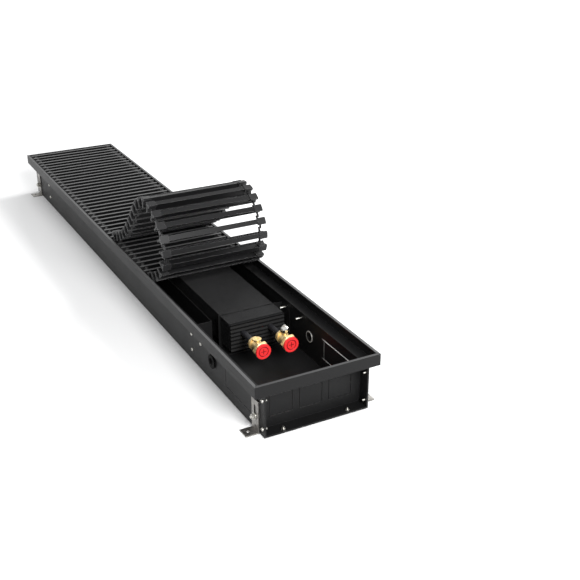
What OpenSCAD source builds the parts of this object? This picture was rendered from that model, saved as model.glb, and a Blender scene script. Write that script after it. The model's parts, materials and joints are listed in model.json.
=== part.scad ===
// Floor trench convector heater with a roll-up grille, its near end folded back.
// X runs across the trench, Y along it and away from the pipe connections, Z up.
// The origin is on the floor, under the middle of the rim.

/* [Trench] */
// Width over the rim
rim_w = 250; // [240:1:320]
// Length over the rim
rim_l = 1470; // [1300:5:2400]
// Height of the rim above the underside of the trench
rim_h = 109; // [104:1:150]
// How far the rim stands out past each side wall
rim_overhang = 20; // [18:0.5:25]
// Thickness of the trench sheet
sheet_t = 1.5; // [1:0.1:2]
// How far the side walls stop short of each end of the rim
wall_set_back = 5; // [3:0.5:10]
// From the end of the side walls to the end panel
panel_recess = 26; // [20:0.5:32]
// Width of the flange that carries the frame
top_flange_w = 12; // [8:0.5:14]

/* [Frame] */
// Thickness of the upright lip
lip_t = 2.4; // [1.5:0.1:3]
// Width of the bead along the top of the lip
bead_w = 5.6; // [3:0.1:6]
// Height of that bead
bead_h = 3; // [2:0.1:5]
// Thickness of the ledge under the grille
ledge_t = 2; // [1.5:0.1:3]
// How far the ledge reaches inside the side walls and end panels
ledge_lap = 2.5; // [1:0.1:5]
// Gap at the mitred corners
corner_seam = 0.4; // [0.2:0.1:1]

/* [Grille] */
// Distance from bar to bar
bar_pitch = 24; // [22:0.5:28]
// Height of a bar
bar_h = 19; // [15:0.5:22]
// Width of the top of a bar
bar_w = 6.5; // [5:0.5:8]
// Thickness of the web of a bar
bar_web = 2.4; // [1.6:0.1:3]
// Thickness of the flanges of a bar
bar_flange = 1.2; // [0.8:0.1:1.2]
// Gap between the ends of the bars and the lip
bar_side_gap = 5.6; // [3:0.1:10]
// Depth of the tops of the bars below the rim
grille_drop = 0.5; // [0:0.1:2]
// Length of the clip at each end of a bar
clip_l = 17; // [12:0.5:24]
// Width of the shoe of a clip
clip_w = 15; // [12:0.5:18]
// Thickness of the shoe under the bar
clip_foot_t = 1; // [0.5:0.1:2]
// Width of the arms that carry the hinge pins
arm_w = 3; // [2:0.1:5]
// Depth of the hinge pins below the tops of the bars
pin_depth = 2.2; // [2.1:0.05:2.5]
// Radius of a hinge pin
pin_r = 1; // [0.8:0.05:1.1]

/* [Heat exchanger] */
// Width of the finned block
block_w = 119; // [100:1:122]
// Height of the finned block
block_h = 59; // [52:1:60]
// Height of the block above the underside of the trench
block_base = 14; // [10:0.5:16]
// Distance of its axis from the axis of the trench
block_shift = 24.5; // [20:0.5:25]
// From the near end of the rim to the block
block_start = 289; // [286:1:340]
// From the far end of the rim to the block
block_end_gap = 112; // [105:1:200]
// Distance from fin to fin
fin_pitch = 10; // [8:0.5:20]
// Thickness of a fin
fin_t = 0.5; // [0.3:0.05:0.8]
// Depth of the waves pressed into the end fins
wave_depth = 1.4; // [0.8:0.1:2]
// Outer radius of the pipes
pipe_r = 6; // [5:0.1:7]
// Wall of the pipes
pipe_wall = 1; // [0.8:0.1:1.5]
// Distance between the pipes
pipe_gap = 60; // [54:0.5:66]
// Distance of the pipes' middle from the block's axis, towards the air guide
pipe_shift = 2; // [0:0.5:4]
// Height of the pipes above the underside of the trench
pipe_z = 50.5; // [46:0.5:52]

/* [Connections] */
// From the near end of the rim to the faces of the caps
cap_face = 200; // [196:1:230]
// Radius of the flange of a cap
cap_r = 15.5; // [15:0.1:17]
// Thickness of that flange
cap_l = 4; // [3:0.5:6]
// Wall of the plug behind the flange
cap_t = 1.6; // [1:0.1:2.5]
// Radius of the thread inside a union nut
thread_r = 13; // [12.7:0.1:13.4]
// Width of the union nut across its flats
nut_flats = 30; // [29:0.5:32]
// Length of the union nut
nut_l = 10; // [8:0.5:12]
// Radius of the body of a valve
valve_r = 10.5; // [8.5:0.1:12]
// Length of the body of a valve
valve_l = 22; // [18:0.5:24]
// Radius of the collar behind the body
collar_r = 13.2; // [11:0.1:13.3]
// Length of that collar
collar_l = 6; // [4:0.5:9]
// Radius of the boss on top of a valve
boss_r = 5.4; // [4.5:0.1:6.5]
// Height of the boss above the axis of its pipe
boss_h = 13.4; // [13.4:0.1:14.4]
// Radius of the head of the drain plug
plug_r = 8.6; // [6:0.1:9]
// Height of that head
plug_h = 1.8; // [1.5:0.1:4]
// Radius of the air vent
vent_r = 9; // [7:0.1:10]
// Height of the air vent
vent_h = 14.5; // [12:0.5:16]

/* [Feet] */
// Width of a foot bracket
foot_w = 25; // [20:0.5:30]
// Height of a foot bracket
foot_h = 65; // [58:0.5:70]
// Reach of the floor plate from the bracket
foot_reach = 24; // [18:0.5:30]
// Thickness of the bracket
foot_t = 2.5; // [2:0.1:3]
// From the end panel to the middle of a bracket
foot_past_panel = 4.5; // [4.5:0.5:12]
// Height of the underside of the trench above the floor
foot_lift = 1.5; // [1:0.1:3]
// Radius of the clamping bolt
bolt_r = 3; // [2.5:0.1:3.5]
// Height of the clamping bolt above the underside of the trench
bolt_z = 29; // [26:0.5:32]
// How far the foot can be lowered
foot_travel = 20; // [14:0.5:22]
// Radius of the hole in the floor plate
floor_hole_r = 3; // [2:0.1:4]
// Distance of that hole from the bracket's upright
floor_hole_out = 14; // [10:0.5:18]

/* [Openings in the sheet] */
// Radius of the round holes in the side walls
gland_r = 11; // [8:0.5:13]
// From the near end of the rim to those holes
gland_y = 220; // [216:1:240]
// Height of those holes above the underside of the trench
gland_z = 46.5; // [30:0.5:56]
// Width of a knock-out in an end panel
knock_w = 47; // [30:0.5:50]
// Height of all knock-outs
knock_h = 42; // [30:0.5:44]
// Distance between the knock-outs in an end panel
knock_pitch = 60; // [54:0.5:61]
// Height of the knock-outs above the underside of the trench
knock_z = 23; // [16:0.5:26]
// Length of the knock-outs in the side walls
side_knock_l = 110; // [60:1:112]
// From the near end of the rim to the side knock-outs
side_knock_y = 53; // [50:1:80]
// Width of the slits round a knock-out
slit = 1.2; // [0.8:0.1:2]

/* [Hidden] */
$fn = 48;
cut = 1;
seat_gap = 0.3;
run_gap = 0.05;
snug_gap = 0.1;

// Bars that are folded back: how much each turns against the one before, as shares of
// one step, from the flat part to the free end
turn_shares = [0.9, 0.3, 0.3, 0.75, 1.2, 1.25, 1.05, 0.75, 0.7, 0.85, 1.05, 1.05,
               0.75, 0.35, 0.1, -0.1, -0.15, -0.25, -0.35, -0.35, -0.3, -0.35];
folded_bars = len(turn_shares);
function two_digits(n) = str(n < 10 ? "0" : "", n);
bar_names = [for (n = [1 : folded_bars]) str("bar_", two_digits(n))];

// Heights above the floor
base_z = foot_lift;
rim_z = base_z + rim_h;
bar_top = rim_z - grille_drop;
ledge_z = bar_top - bar_h - clip_foot_t - seat_gap;
wall_top = ledge_z - ledge_t;
wall_h = wall_top - base_z;
axis_z = base_z + pipe_z;

// Lengths along the trench
near_y = -rim_l / 2;
far_y = rim_l / 2;
wall_near = near_y + wall_set_back;
wall_l = rim_l - 2 * wall_set_back;
panel_near = wall_near + panel_recess;
trench_w = rim_w - 2 * rim_overhang;
inner_w = trench_w - 2 * sheet_t;

// Broken slits of a knock-out
slit_count = 3;
slit_share = 0.8;

// Screws in the end panels
screw_r = 2;
screw_head_r = 3.6;
screw_head_h = 2.4;
screw_tip = 5;
screw_in_share = 0.28;
screw_low_share = 0.17;
screw_high_share = 0.83;
stud_h = 9;
stud_out_share = 0.31;
stud_in_share = 0.25;
stud_nut_flats = 7;
stud_nut_h = 3.2;

// The grille: its row of bars and the chain of hinge lines of the fold
bar_count = floor((rim_l - 2 * lip_t - 2 * seat_gap) / bar_pitch);
flat_count = bar_count - folded_bars;
first_bar_y = -(bar_count - 1) / 2 * bar_pitch;
hinge_y = first_bar_y + (folded_bars - 0.5) * bar_pitch;
hinge_z = bar_top - pin_depth;
bar_l = rim_w - 2 * (lip_t + bar_side_gap);
sole_share = 1.6;
bar_sole = bar_w * sole_share;
eye_r = pin_depth - snug_gap;
clip_inset = 1;
clip_waist = 5;
clip_shoe_share = 0.2;
lap = clip_l / 2;
arm_root_share = 0.18;

// Lean of each folded bar for one step, and the way along the chain of hinge lines
function sum_to(v, n, i = 0) = i >= n ? 0 : v[i] + sum_to(v, n, i + 1);
function leans(step) = [for (n = [1 : folded_bars]) step * sum_to(turn_shares, n)];
function rise(v, n) = n == 0 ? 0 : bar_pitch * sin(v[n - 1]) + rise(v, n - 1);
function run(v, n) = n == 0 ? 0 : -bar_pitch * cos(v[n - 1]) + run(v, n - 1);

// The free end lies upside down on the flat bars: its lowest edge sets the step
function end_edge(step) =
    let (v = leans(step), last = v[folded_bars - 1])
    rise(v, folded_bars - 1) + (bar_pitch + bar_w) / 2 * sin(last) + pin_depth * cos(last);
least_step = 18;
most_step = 22;
solve_tries = 40;
function fold_step(low, high, tries) =
    let (mid = (low + high) / 2)
    tries == 0 ? mid
    : end_edge(mid) > pin_depth + seat_gap ? fold_step(mid, high, tries - 1)
    : fold_step(low, mid, tries - 1);
fold_leans = leans(fold_step(least_step, most_step, solve_tries));

// The heat exchanger and its pipes
block_x = block_shift;
block_low = base_z + block_base;
block_top = block_low + block_h;
block_near = near_y + block_start;
block_l = rim_l - block_start - block_end_gap;
fin_count = floor((block_l - 4 * wave_depth) / fin_pitch);
pipe_mid_x = block_x - pipe_shift;
supply_x = pipe_mid_x - pipe_gap / 2;
return_x = pipe_mid_x + pipe_gap / 2;
bend_stub = 8;
wave_count = 7;

// Sheet supports of the block, and the sheet that guides the air beside it
support_t = 1.2;
support_in = 48;
support_rim = 5;
support_tab_w = 12;
support_tab_h = 2;
support_tab_shares = [0.1, 0.5, 0.9];
support_flange = 36;
support_y = block_near + support_in;
support_far_y = block_near + block_l - support_in - support_t;
support_left = block_x - block_w / 2 - support_rim;
support_right = inner_w / 2;
guide_gap = 20;
guide_x = block_x - block_w / 2 - guide_gap;
guide_t = 1;
guide_h = 54;
guide_low = 12;

// Screws through the walls: side, and height as a share of the wall
wall_screw_l = 15;
wall_screw_shares = [[-1, 0.28], [-1, 0.68], [1, 0.28], [1, 0.81]];
wall_screw_back = support_flange / 2;
// Single screws near the connections: side, distance from the near end as a share of
// block_start, and height as a share of the wall
spare_screw_shares = [[-1, 0.953, 0.66], [1, 0.874, 0.857]];

// The connections, in order from the face of the caps
cap_front = near_y + cap_face;
nut_front = cap_front + cap_l + seat_gap;
valve_front = nut_front + nut_l;
collar_front = valve_front + valve_l;
collar_back = collar_front + collar_l;
boss_share = 0.66;
boss_y = valve_front + valve_l * boss_share;
nut_lip = 2;
tail_r = 9.5;
tail_rim_r = 12;
tail_rim_t = 2;
tail_front = valve_front - nut_lip - run_gap - tail_rim_t;
plug_share = 0.8;
cap_plug_l = (tail_front - nut_front) * plug_share;
water_r = pipe_r - pipe_wall;
socket_past = 4;
socket_l = collar_l + socket_past;
cap_ring_r = 10.5;
cap_ring_w = 1.6;
cap_cross_l = 11;
cap_mark_h = 0.6;
plug_neck_h = 1;
plug_hex = 5;
vent_neck_r = 5;
vent_neck_h = 3;
vent_dome_h = 5;
vent_dome_r = (vent_r * vent_r + vent_dome_h * vent_dome_h) / (2 * vent_dome_h);
vent_screw_r = 2.4;
vent_screw_h = 1.6;
vent_screw_l = 5;
vent_slot = 0.8;

// Feet
foot_face = trench_w / 2 + seat_gap;
foot_set_in = wall_set_back + panel_recess + sheet_t + foot_past_panel;
slot_r = bolt_r + seat_gap;
washer_r = 7;
washer_t = 1.4;
foot_nut_flats = 10;
foot_nut_h = 5;
bolt_past = 2;
bolt_out = foot_t + 2 * seat_gap + washer_t + foot_nut_h + bolt_past;
bolt_head_r = 4;
bolt_head_h = 1;
spare_hole_r = 2.2;
spare_hole_z = 11;

// Cable passage
grommet_t = 4;
grommet_lip = 3.2;
grommet_wall = 3;
grommet_sides = 8;
ring_lip = 0.8;
ring_t = 1;
ring_wall = 1.2;

// Shapes used more than once

module hexagon(flats, h) {
    cylinder(r = flats / sqrt(3), h = h, $fn = 6);
}

// Along the trench from y, about the line x, z
module along(x, y, z) {
    translate([x, y, z]) rotate([-90, 0, 0]) children();
}

// Sideways from a wall, outwards on side s
module outwards(s, x, y, z) {
    translate([s * x, y, z]) rotate([0, s * 90, 0]) children();
}

// Plate across the trench from x0 to x1 and z0 to z1, its near face at y
module cross_plate(x0, x1, z0, z1, y, t) {
    translate([x0, y, z0]) cube([x1 - x0, t, z1 - z0]);
}

// Slits round a knock-out l long and h high: whole ones upright, broken ones along it
module slits(l, h) {
    piece = (l - 2 * slit) / slit_count;
    for (x = [0, l - slit]) translate([x, 0]) square([slit, h]);
    for (i = [0 : slit_count - 1], y = [0, h - slit])
        translate([slit + piece * (i + (1 - slit_share) / 2), y])
            square([piece * slit_share, slit]);
}

// Trench

module trench_section() {
    half = trench_w / 2;
    translate([-half, 0]) square([trench_w, sheet_t]);
    for (s = [-1, 1]) {
        translate([s * (half - sheet_t / 2) - sheet_t / 2, 0]) square([sheet_t, wall_h]);
        translate([s * (half + top_flange_w / 2 - sheet_t / 2) - top_flange_w / 2 - sheet_t / 2,
                   wall_h - sheet_t]) square([top_flange_w + sheet_t, sheet_t]);
    }
}

module side_knock_out(s) {
    translate([s * (trench_w / 2 - sheet_t - cut), near_y + side_knock_y, base_z + knock_z])
        rotate([90, 0, 90]) translate([0, 0, s > 0 ? 0 : -sheet_t - 2 * cut])
            linear_extrude(sheet_t + 2 * cut) slits(side_knock_l, knock_h);
}

module foot_places() {
    for (s = [-1, 1], e = [-1, 1]) outwards(s, 0, e * (far_y - foot_set_in), base_z + bolt_z)
        children();
}

module side_screw_places() {
    for (s = [-1, 1], e = [-1, 1], share = [screw_low_share, screw_high_share])
        outwards(s, 0, e * (far_y - wall_set_back - panel_recess * screw_in_share),
                 base_z + wall_h * share) children();
}

module stud_places() {
    for (s = [-1, 1], e = [-1, 1])
        translate([s * trench_w * stud_out_share,
                   e * (far_y - wall_set_back - panel_recess * stud_in_share), base_z])
            children();
}

module trench() {
    color([0.17, 0.17, 0.18]) difference() {
        translate([0, wall_near + wall_l, base_z]) rotate([90, 0, 0])
            linear_extrude(wall_l) trench_section();
        for (s = [-1, 1]) {
            outwards(s, trench_w / 2 - sheet_t - cut, near_y + gland_y, base_z + gland_z)
                cylinder(r = gland_r, h = sheet_t + 2 * cut);
            side_knock_out(s);
        }
        foot_places() cylinder(r = bolt_r + snug_gap, h = trench_w);
        side_screw_places() cylinder(r = screw_r + snug_gap, h = trench_w);
        stud_places() translate([0, 0, -cut])
            cylinder(r = screw_r, h = sheet_t + 2 * cut);
        wall_screw_places() wall_screw_hole();
        spare_screw_places() wall_screw_hole();
    }
}

// Pan-shaped panel: its flanges point out of the trench and are screwed to it
module end_panel() {
    difference() {
        union() {
            cross_plate(-inner_w / 2, inner_w / 2, base_z + sheet_t, wall_top, panel_near, sheet_t);
            translate([-inner_w / 2, wall_near, base_z + sheet_t])
                cube([inner_w, panel_recess, sheet_t]);
            for (s = [-1, 1]) translate([s * (inner_w - sheet_t) / 2 - sheet_t / 2, wall_near,
                                         base_z + sheet_t])
                cube([sheet_t, panel_recess, wall_h - sheet_t]);
        }
        for (i = [-1, 0, 1]) translate([i * knock_pitch - knock_w / 2,
                                        panel_near + sheet_t + cut, base_z + knock_z])
            rotate([90, 0, 0]) linear_extrude(sheet_t + 2 * cut) slits(knock_w, knock_h);
        side_screw_places() cylinder(r = screw_r + snug_gap, h = trench_w);
        stud_places() cylinder(r = screw_r + snug_gap, h = stud_h);
    }
}

module end_panel_near() {
    color([0.19, 0.19, 0.2]) end_panel();
}

module end_panel_far() {
    color([0.19, 0.19, 0.2]) mirror([0, 1, 0]) end_panel();
}

// Frame

// Section of the frame: lip, bead and ledge, with the outer face on x = 0
module frame_section(ledge_w) {
    square([ledge_w, ledge_t]);
    square([lip_t, rim_z - wall_top]);
    translate([0, rim_z - wall_top - bead_h]) square([bead_w, bead_h]);
}

side_ledge = (rim_w - trench_w) / 2 + sheet_t + ledge_lap;
end_ledge = wall_set_back + panel_recess + sheet_t + ledge_lap;

module side_plan() {
    polygon([[0, corner_seam], [side_ledge, end_ledge + corner_seam],
             [side_ledge, rim_l - end_ledge - corner_seam], [0, rim_l - corner_seam]]);
}

module end_plan() {
    polygon([[0, 0], [rim_w, 0], [rim_w - side_ledge, end_ledge], [side_ledge, end_ledge]]);
}

module rail() {
    intersection() {
        translate([-rim_w / 2, far_y, wall_top]) rotate([90, 0, 0])
            linear_extrude(rim_l) frame_section(side_ledge);
        translate([-rim_w / 2, near_y, wall_top - cut])
            linear_extrude(rim_z - wall_top + 2 * cut) side_plan();
    }
}

module apron() {
    intersection() {
        translate([-rim_w / 2, near_y, wall_top]) rotate([90, 0, 90])
            linear_extrude(rim_w) frame_section(end_ledge);
        translate([-rim_w / 2, near_y, wall_top - cut])
            linear_extrude(rim_z - wall_top + 2 * cut) end_plan();
    }
}

module rail_left() {
    color([0.2, 0.2, 0.21]) rail();
}

module rail_right() {
    color([0.2, 0.2, 0.21]) mirror([1, 0, 0]) rail();
}

module apron_near() {
    color([0.2, 0.2, 0.21]) apron();
}

module apron_far() {
    color([0.2, 0.2, 0.21]) mirror([0, 1, 0]) apron();
}

// Screws that hold the panels, from outside through the walls
module panel_screws() {
    color([0.75, 0.75, 0.76]) side_screw_places() {
        translate([0, 0, trench_w / 2 - 2 * sheet_t - screw_tip])
            cylinder(r = screw_r, h = 2 * sheet_t + screw_tip + cut);
        translate([0, 0, trench_w / 2]) cylinder(r = screw_head_r, h = screw_head_h);
    }
}

// Studs on the floor of the trench that hold the panels' lower flanges, with their nuts
module panel_studs() {
    color([0.75, 0.75, 0.76]) stud_places() {
        cylinder(r = screw_r, h = stud_h);
        translate([0, 0, 2 * sheet_t]) difference() {
            hexagon(stud_nut_flats, stud_nut_h);
            translate([0, 0, -cut]) cylinder(r = screw_r + run_gap, h = stud_nut_h + 2 * cut);
        }
    }
}

// Heat exchanger

module pipe_holes(r) {
    for (x = [supply_x, return_x]) translate([x, axis_z]) circle(r = r);
}

module fin_outline() {
    difference() {
        translate([block_x - block_w / 2, block_low]) square([block_w, block_h]);
        pipe_holes(pipe_r + snug_gap);
    }
}

module fins() {
    color([0.12, 0.12, 0.13]) for (i = [0 : fin_count - 1])
        translate([0, block_near + 2 * wave_depth + fin_t + (i + 0.5) * fin_pitch, 0])
            rotate([90, 0, 0]) linear_extrude(fin_t) fin_outline();
}

// Wave of an end fin, as a line of points up the block
function wave(z0, z1, n, depth) =
    [for (i = [0 : 4 * n]) [depth / 2 * (1 - cos(90 * i)), z0 + (z1 - z0) * i / (4 * n)]];
function moved(v, d) = [for (p = v) [p[0] + d, p[1]]];
function reversed(v) = [for (i = [len(v) - 1 : -1 : 0]) v[i]];

module end_fin() {
    line = wave(block_low, block_top, wave_count, wave_depth);
    difference() {
        translate([block_x - block_w / 2, block_near, 0]) rotate([90, 0, 90])
            linear_extrude(block_w) polygon(concat(line, reversed(moved(line, 2 * fin_t))));
        for (x = [supply_x, return_x]) along(x, block_near - cut, axis_z)
            cylinder(r = pipe_r + snug_gap, h = wave_depth + 2 * fin_t + 2 * cut);
    }
}

module end_fins() {
    color([0.12, 0.12, 0.13]) {
        end_fin();
        translate([0, 2 * block_near + block_l, 0]) mirror([0, 1, 0]) end_fin();
    }
}

pipe_start = collar_back - socket_l;
pipe_end = block_near + block_l + bend_stub;

module pipe(x) {
    color([0.2, 0.2, 0.21]) along(x, pipe_start, axis_z) difference() {
        cylinder(r = pipe_r, h = pipe_end - pipe_start);
        translate([0, 0, -cut]) cylinder(r = water_r, h = pipe_end - pipe_start + 2 * cut);
    }
}

module pipe_supply() {
    pipe(supply_x);
}

module pipe_return() {
    pipe(return_x);
}

module return_bend() {
    color([0.2, 0.2, 0.21]) translate([pipe_mid_x, pipe_end, axis_z])
        rotate_extrude(angle = 180) translate([pipe_gap / 2, 0]) difference() {
            circle(r = pipe_r);
            circle(r = water_r);
        }
}

// Plate across the trench with a window for the block, tabs on top and flanges
module support_outline() {
    difference() {
        union() {
            translate([support_left, base_z + sheet_t])
                square([support_right - support_left, block_top + snug_gap - base_z - sheet_t]);
            for (share = support_tab_shares)
                translate([block_x - block_w / 2 + share * block_w - support_tab_w / 2, block_top])
                    square([support_tab_w, support_tab_h]);
        }
        translate([block_x - block_w / 2 - snug_gap, block_low])
            square([block_w + 2 * snug_gap, block_h + snug_gap]);
    }
    translate([support_left, block_top + snug_gap])
        square([block_w + 2 * support_rim, support_tab_h / 2]);
}

module support(y, flange_y) {
    difference() {
        union() {
            translate([0, y + support_t, 0]) rotate([90, 0, 0])
                linear_extrude(support_t) support_outline();
            translate([support_right - support_t, flange_y, base_z + sheet_t])
                cube([support_t, support_flange, block_top - base_z - sheet_t]);
            translate([support_left, flange_y, base_z + sheet_t])
                cube([support_right - support_left, support_flange, support_t]);
        }
        wall_screw_places() wall_screw_hole();
    }
}

module support_near() {
    color([0.14, 0.14, 0.15]) support(support_y, support_y - support_flange);
}

module support_far() {
    color([0.14, 0.14, 0.15]) support(support_far_y, support_far_y + support_t);
}

// Screws through the walls into the supports on the right and the air guide on the left
module wall_screw_places() {
    for (place = wall_screw_shares,
         y = [support_y - wall_screw_back, support_far_y + support_t + wall_screw_back])
        outwards(place[0], trench_w / 2, y, base_z + wall_h * place[1]) children();
}

module spare_screw_places() {
    for (place = spare_screw_shares)
        outwards(place[0], trench_w / 2, near_y + block_start * place[1],
                 base_z + wall_h * place[2]) children();
}

module wall_screw_hole() {
    translate([0, 0, -wall_screw_l]) cylinder(r = screw_r + snug_gap, h = wall_screw_l + cut);
}

module wall_screw() {
    cylinder(r = screw_head_r, h = screw_head_h);
    translate([0, 0, -wall_screw_l]) cylinder(r = screw_r, h = wall_screw_l + cut);
}

module wall_screws() {
    color([0.75, 0.75, 0.76]) {
        wall_screw_places() wall_screw();
        spare_screw_places() wall_screw();
    }
}

// Sheet beside the block: an upright web, and at each end a lip and a flange on the wall
module air_guide() {
    wall_x = -inner_w / 2;
    color([0.24, 0.24, 0.25]) difference() {
        union() {
            translate([guide_x, support_y, base_z + guide_low])
                cube([guide_t, support_far_y + support_t - support_y, guide_h]);
            for (y = [support_y, support_far_y + support_t - guide_t])
                translate([wall_x, y, base_z + guide_low])
                    cube([guide_x + guide_t - wall_x, guide_t, guide_h]);
            for (y = [support_y - support_flange, support_far_y + support_t])
                translate([wall_x, y, base_z + guide_low])
                    cube([guide_t, support_flange, guide_h]);
        }
        wall_screw_places() wall_screw_hole();
    }
}

// Connections

// Valve body with a boss on top, and in front a tail whose rim holds the union nut
module valve(x) {
    difference() {
        union() {
            along(x, valve_front, axis_z) cylinder(r = valve_r, h = valve_l);
            along(x, collar_front, axis_z) cylinder(r = collar_r, h = collar_l);
            along(x, tail_front, axis_z) {
                cylinder(r = tail_rim_r, h = tail_rim_t);
                cylinder(r = tail_r, h = valve_front - tail_front);
            }
            translate([x, boss_y, axis_z]) cylinder(r = boss_r, h = boss_h);
        }
        along(x, tail_front - cut, axis_z)
            cylinder(r = water_r, h = collar_back - tail_front + 2 * cut);
        along(x, pipe_start, axis_z) cylinder(r = pipe_r + run_gap, h = socket_l + cut);
    }
}

module valve_supply() {
    color([0.78, 0.62, 0.34]) valve(supply_x);
}

module valve_return() {
    color([0.78, 0.62, 0.34]) valve(return_x);
}

// Nut with its thread inside and a lip behind the rim of the tail
module union_nut(x) {
    color([0.8, 0.64, 0.36]) along(x, nut_front, axis_z) difference() {
        hexagon(nut_flats, nut_l);
        translate([0, 0, -cut]) {
            cylinder(r = tail_r + run_gap, h = nut_l + 2 * cut);
            cylinder(r = thread_r, h = nut_l - nut_lip + cut);
        }
    }
}

module union_nut_supply() {
    union_nut(supply_x);
}

module union_nut_return() {
    union_nut(return_x);
}

module drain_plug() {
    color([0.8, 0.66, 0.4]) translate([supply_x, boss_y, axis_z + boss_h]) difference() {
        cylinder(r = plug_r, h = plug_h);
        translate([0, 0, plug_h - plug_neck_h]) hexagon(plug_hex, plug_neck_h + cut);
    }
}

module air_vent() {
    color([0.78, 0.78, 0.78]) translate([return_x, boss_y, axis_z + boss_h]) difference() {
        union() {
            cylinder(r = vent_neck_r, h = vent_neck_h);
            translate([0, 0, vent_neck_h]) cylinder(r = vent_r, h = vent_h - vent_neck_h - vent_dome_h);
            translate([0, 0, vent_h - vent_dome_h]) rotate_extrude() intersection() {
                translate([0, vent_dome_h - vent_dome_r]) circle(r = vent_dome_r);
                square([vent_r, vent_dome_h]);
            }
        }
        translate([0, 0, vent_h - vent_screw_l]) cylinder(r = vent_screw_r, h = vent_screw_l + cut);
    }
}

module vent_screw() {
    color([0.7, 0.7, 0.7])
        translate([return_x, boss_y, axis_z + boss_h + vent_h - vent_screw_l + seat_gap])
            difference() {
                cylinder(r = vent_screw_r - run_gap, h = vent_screw_l + vent_screw_h);
                translate([-vent_screw_r, -vent_slot / 2, vent_screw_l])
                    cube([2 * vent_screw_r, vent_slot, vent_screw_h + cut]);
            }
}

// Groove and cross in the face of a cap
module cap_marks() {
    difference() {
        circle(r = cap_ring_r);
        circle(r = cap_ring_r - cap_ring_w);
    }
    for (turn = [0, 90]) rotate(turn) square([cap_cross_l, cap_ring_w], center = true);
}

// Cap whose hollow plug closes the nut
module cap(x) {
    color([0.86, 0.1, 0.14]) along(x, cap_front, axis_z) difference() {
        union() {
            cylinder(r = cap_r, h = cap_l);
            cylinder(r = thread_r - run_gap, h = cap_l + seat_gap + cap_plug_l);
        }
        translate([0, 0, cap_t]) cylinder(r = thread_r - cap_t, h = cap_l + cap_plug_l);
        translate([0, 0, -cut]) linear_extrude(cut + cap_mark_h) cap_marks();
    }
}

module cap_supply() {
    cap(supply_x);
}

module cap_return() {
    cap(return_x);
}

// Rubber grommet in the left wall: a flange with flat sides on each face of the sheet
module grommet_flange() {
    rotate(180 / grommet_sides)
        cylinder(r = gland_r + grommet_lip, h = grommet_t, $fn = grommet_sides);
}

module grommet() {
    color([0.05, 0.05, 0.05])
        outwards(-1, trench_w / 2 - sheet_t, near_y + gland_y, base_z + gland_z) difference() {
            union() {
                translate([0, 0, -grommet_t]) grommet_flange();
                cylinder(r = gland_r, h = sheet_t);
                translate([0, 0, sheet_t]) grommet_flange();
            }
            translate([0, 0, -grommet_t - cut])
                cylinder(r = gland_r - grommet_wall, h = sheet_t + 2 * grommet_t + 2 * cut);
        }
}

// Plug in the right wall: a closed plate with a raised ring on each face of the sheet
module gland_ring() {
    color([0.8, 0.8, 0.8])
        outwards(1, trench_w / 2 - sheet_t, near_y + gland_y, base_z + gland_z) difference() {
            union() {
                translate([0, 0, -ring_t]) cylinder(r = gland_r + ring_lip, h = ring_t);
                cylinder(r = gland_r, h = sheet_t);
                translate([0, 0, sheet_t]) cylinder(r = gland_r + ring_lip, h = ring_t);
            }
            for (z = [-ring_t - cut, sheet_t]) translate([0, 0, z])
                cylinder(r = gland_r - ring_wall, h = ring_t + cut);
        }
}

// Feet: angle brackets on the outside of the walls, clamped through an upright slot

module foot_slot() {
    for (z = [0, foot_travel]) translate([0, z]) circle(r = slot_r);
    translate([-slot_r, 0]) square([2 * slot_r, foot_travel]);
}

// Section of the bracket, upright on x = 0, with a rounded outer bend
module foot_section() {
    translate([foot_t, 0]) square([foot_reach, foot_t]);
    translate([0, foot_t]) square([foot_t, foot_h - foot_t]);
    intersection() {
        translate([foot_t, foot_t]) circle(r = foot_t);
        square([foot_t, foot_t]);
    }
}

// Foot on the right; the left ones are mirrored
module foot(mirrored, e) {
    color([0.7, 0.7, 0.68]) mirror([mirrored, 0, 0])
        translate([foot_face, e * (far_y - foot_set_in), 0]) difference() {
            translate([0, foot_w / 2, 0]) rotate([90, 0, 0]) linear_extrude(foot_w) foot_section();
            translate([-cut, 0, base_z + bolt_z]) rotate([90, 0, 90])
                linear_extrude(foot_t + 2 * cut) foot_slot();
            translate([-cut, 0, spare_hole_z]) rotate([0, 90, 0])
                cylinder(r = spare_hole_r, h = foot_t + 2 * cut);
            translate([foot_t + floor_hole_out, 0, -cut])
                cylinder(r = floor_hole_r, h = foot_t + 2 * cut);
        }
}

module foot_near_left() {
    foot(1, -1);
}

module foot_near_right() {
    foot(0, -1);
}

module foot_far_left() {
    foot(1, 1);
}

module foot_far_right() {
    foot(0, 1);
}

// Studs through the walls, their flat heads inside
module foot_bolts() {
    color([0.75, 0.75, 0.76]) foot_places() {
        translate([0, 0, trench_w / 2 - sheet_t - bolt_head_h])
            cylinder(r = bolt_head_r, h = bolt_head_h);
        translate([0, 0, trench_w / 2 - sheet_t]) cylinder(r = bolt_r, h = sheet_t + bolt_out);
    }
}

module foot_washers() {
    color([0.75, 0.75, 0.76]) foot_places()
        translate([0, 0, trench_w / 2 + foot_t + 2 * seat_gap]) difference() {
            cylinder(r = washer_r, h = washer_t);
            translate([0, 0, -cut]) cylinder(r = bolt_r + run_gap, h = washer_t + 2 * cut);
        }
}

module foot_nuts() {
    color([0.75, 0.75, 0.76]) foot_places()
        translate([0, 0, trench_w / 2 + foot_t + 2 * seat_gap + washer_t]) difference() {
            hexagon(foot_nut_flats, foot_nut_h);
            translate([0, 0, -cut]) cylinder(r = bolt_r + run_gap, h = foot_nut_h + 2 * cut);
        }
}

// Grille. A bar is drawn in its own section: y towards the hinge it hangs from, z up,
// the middle of its top at the origin

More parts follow.
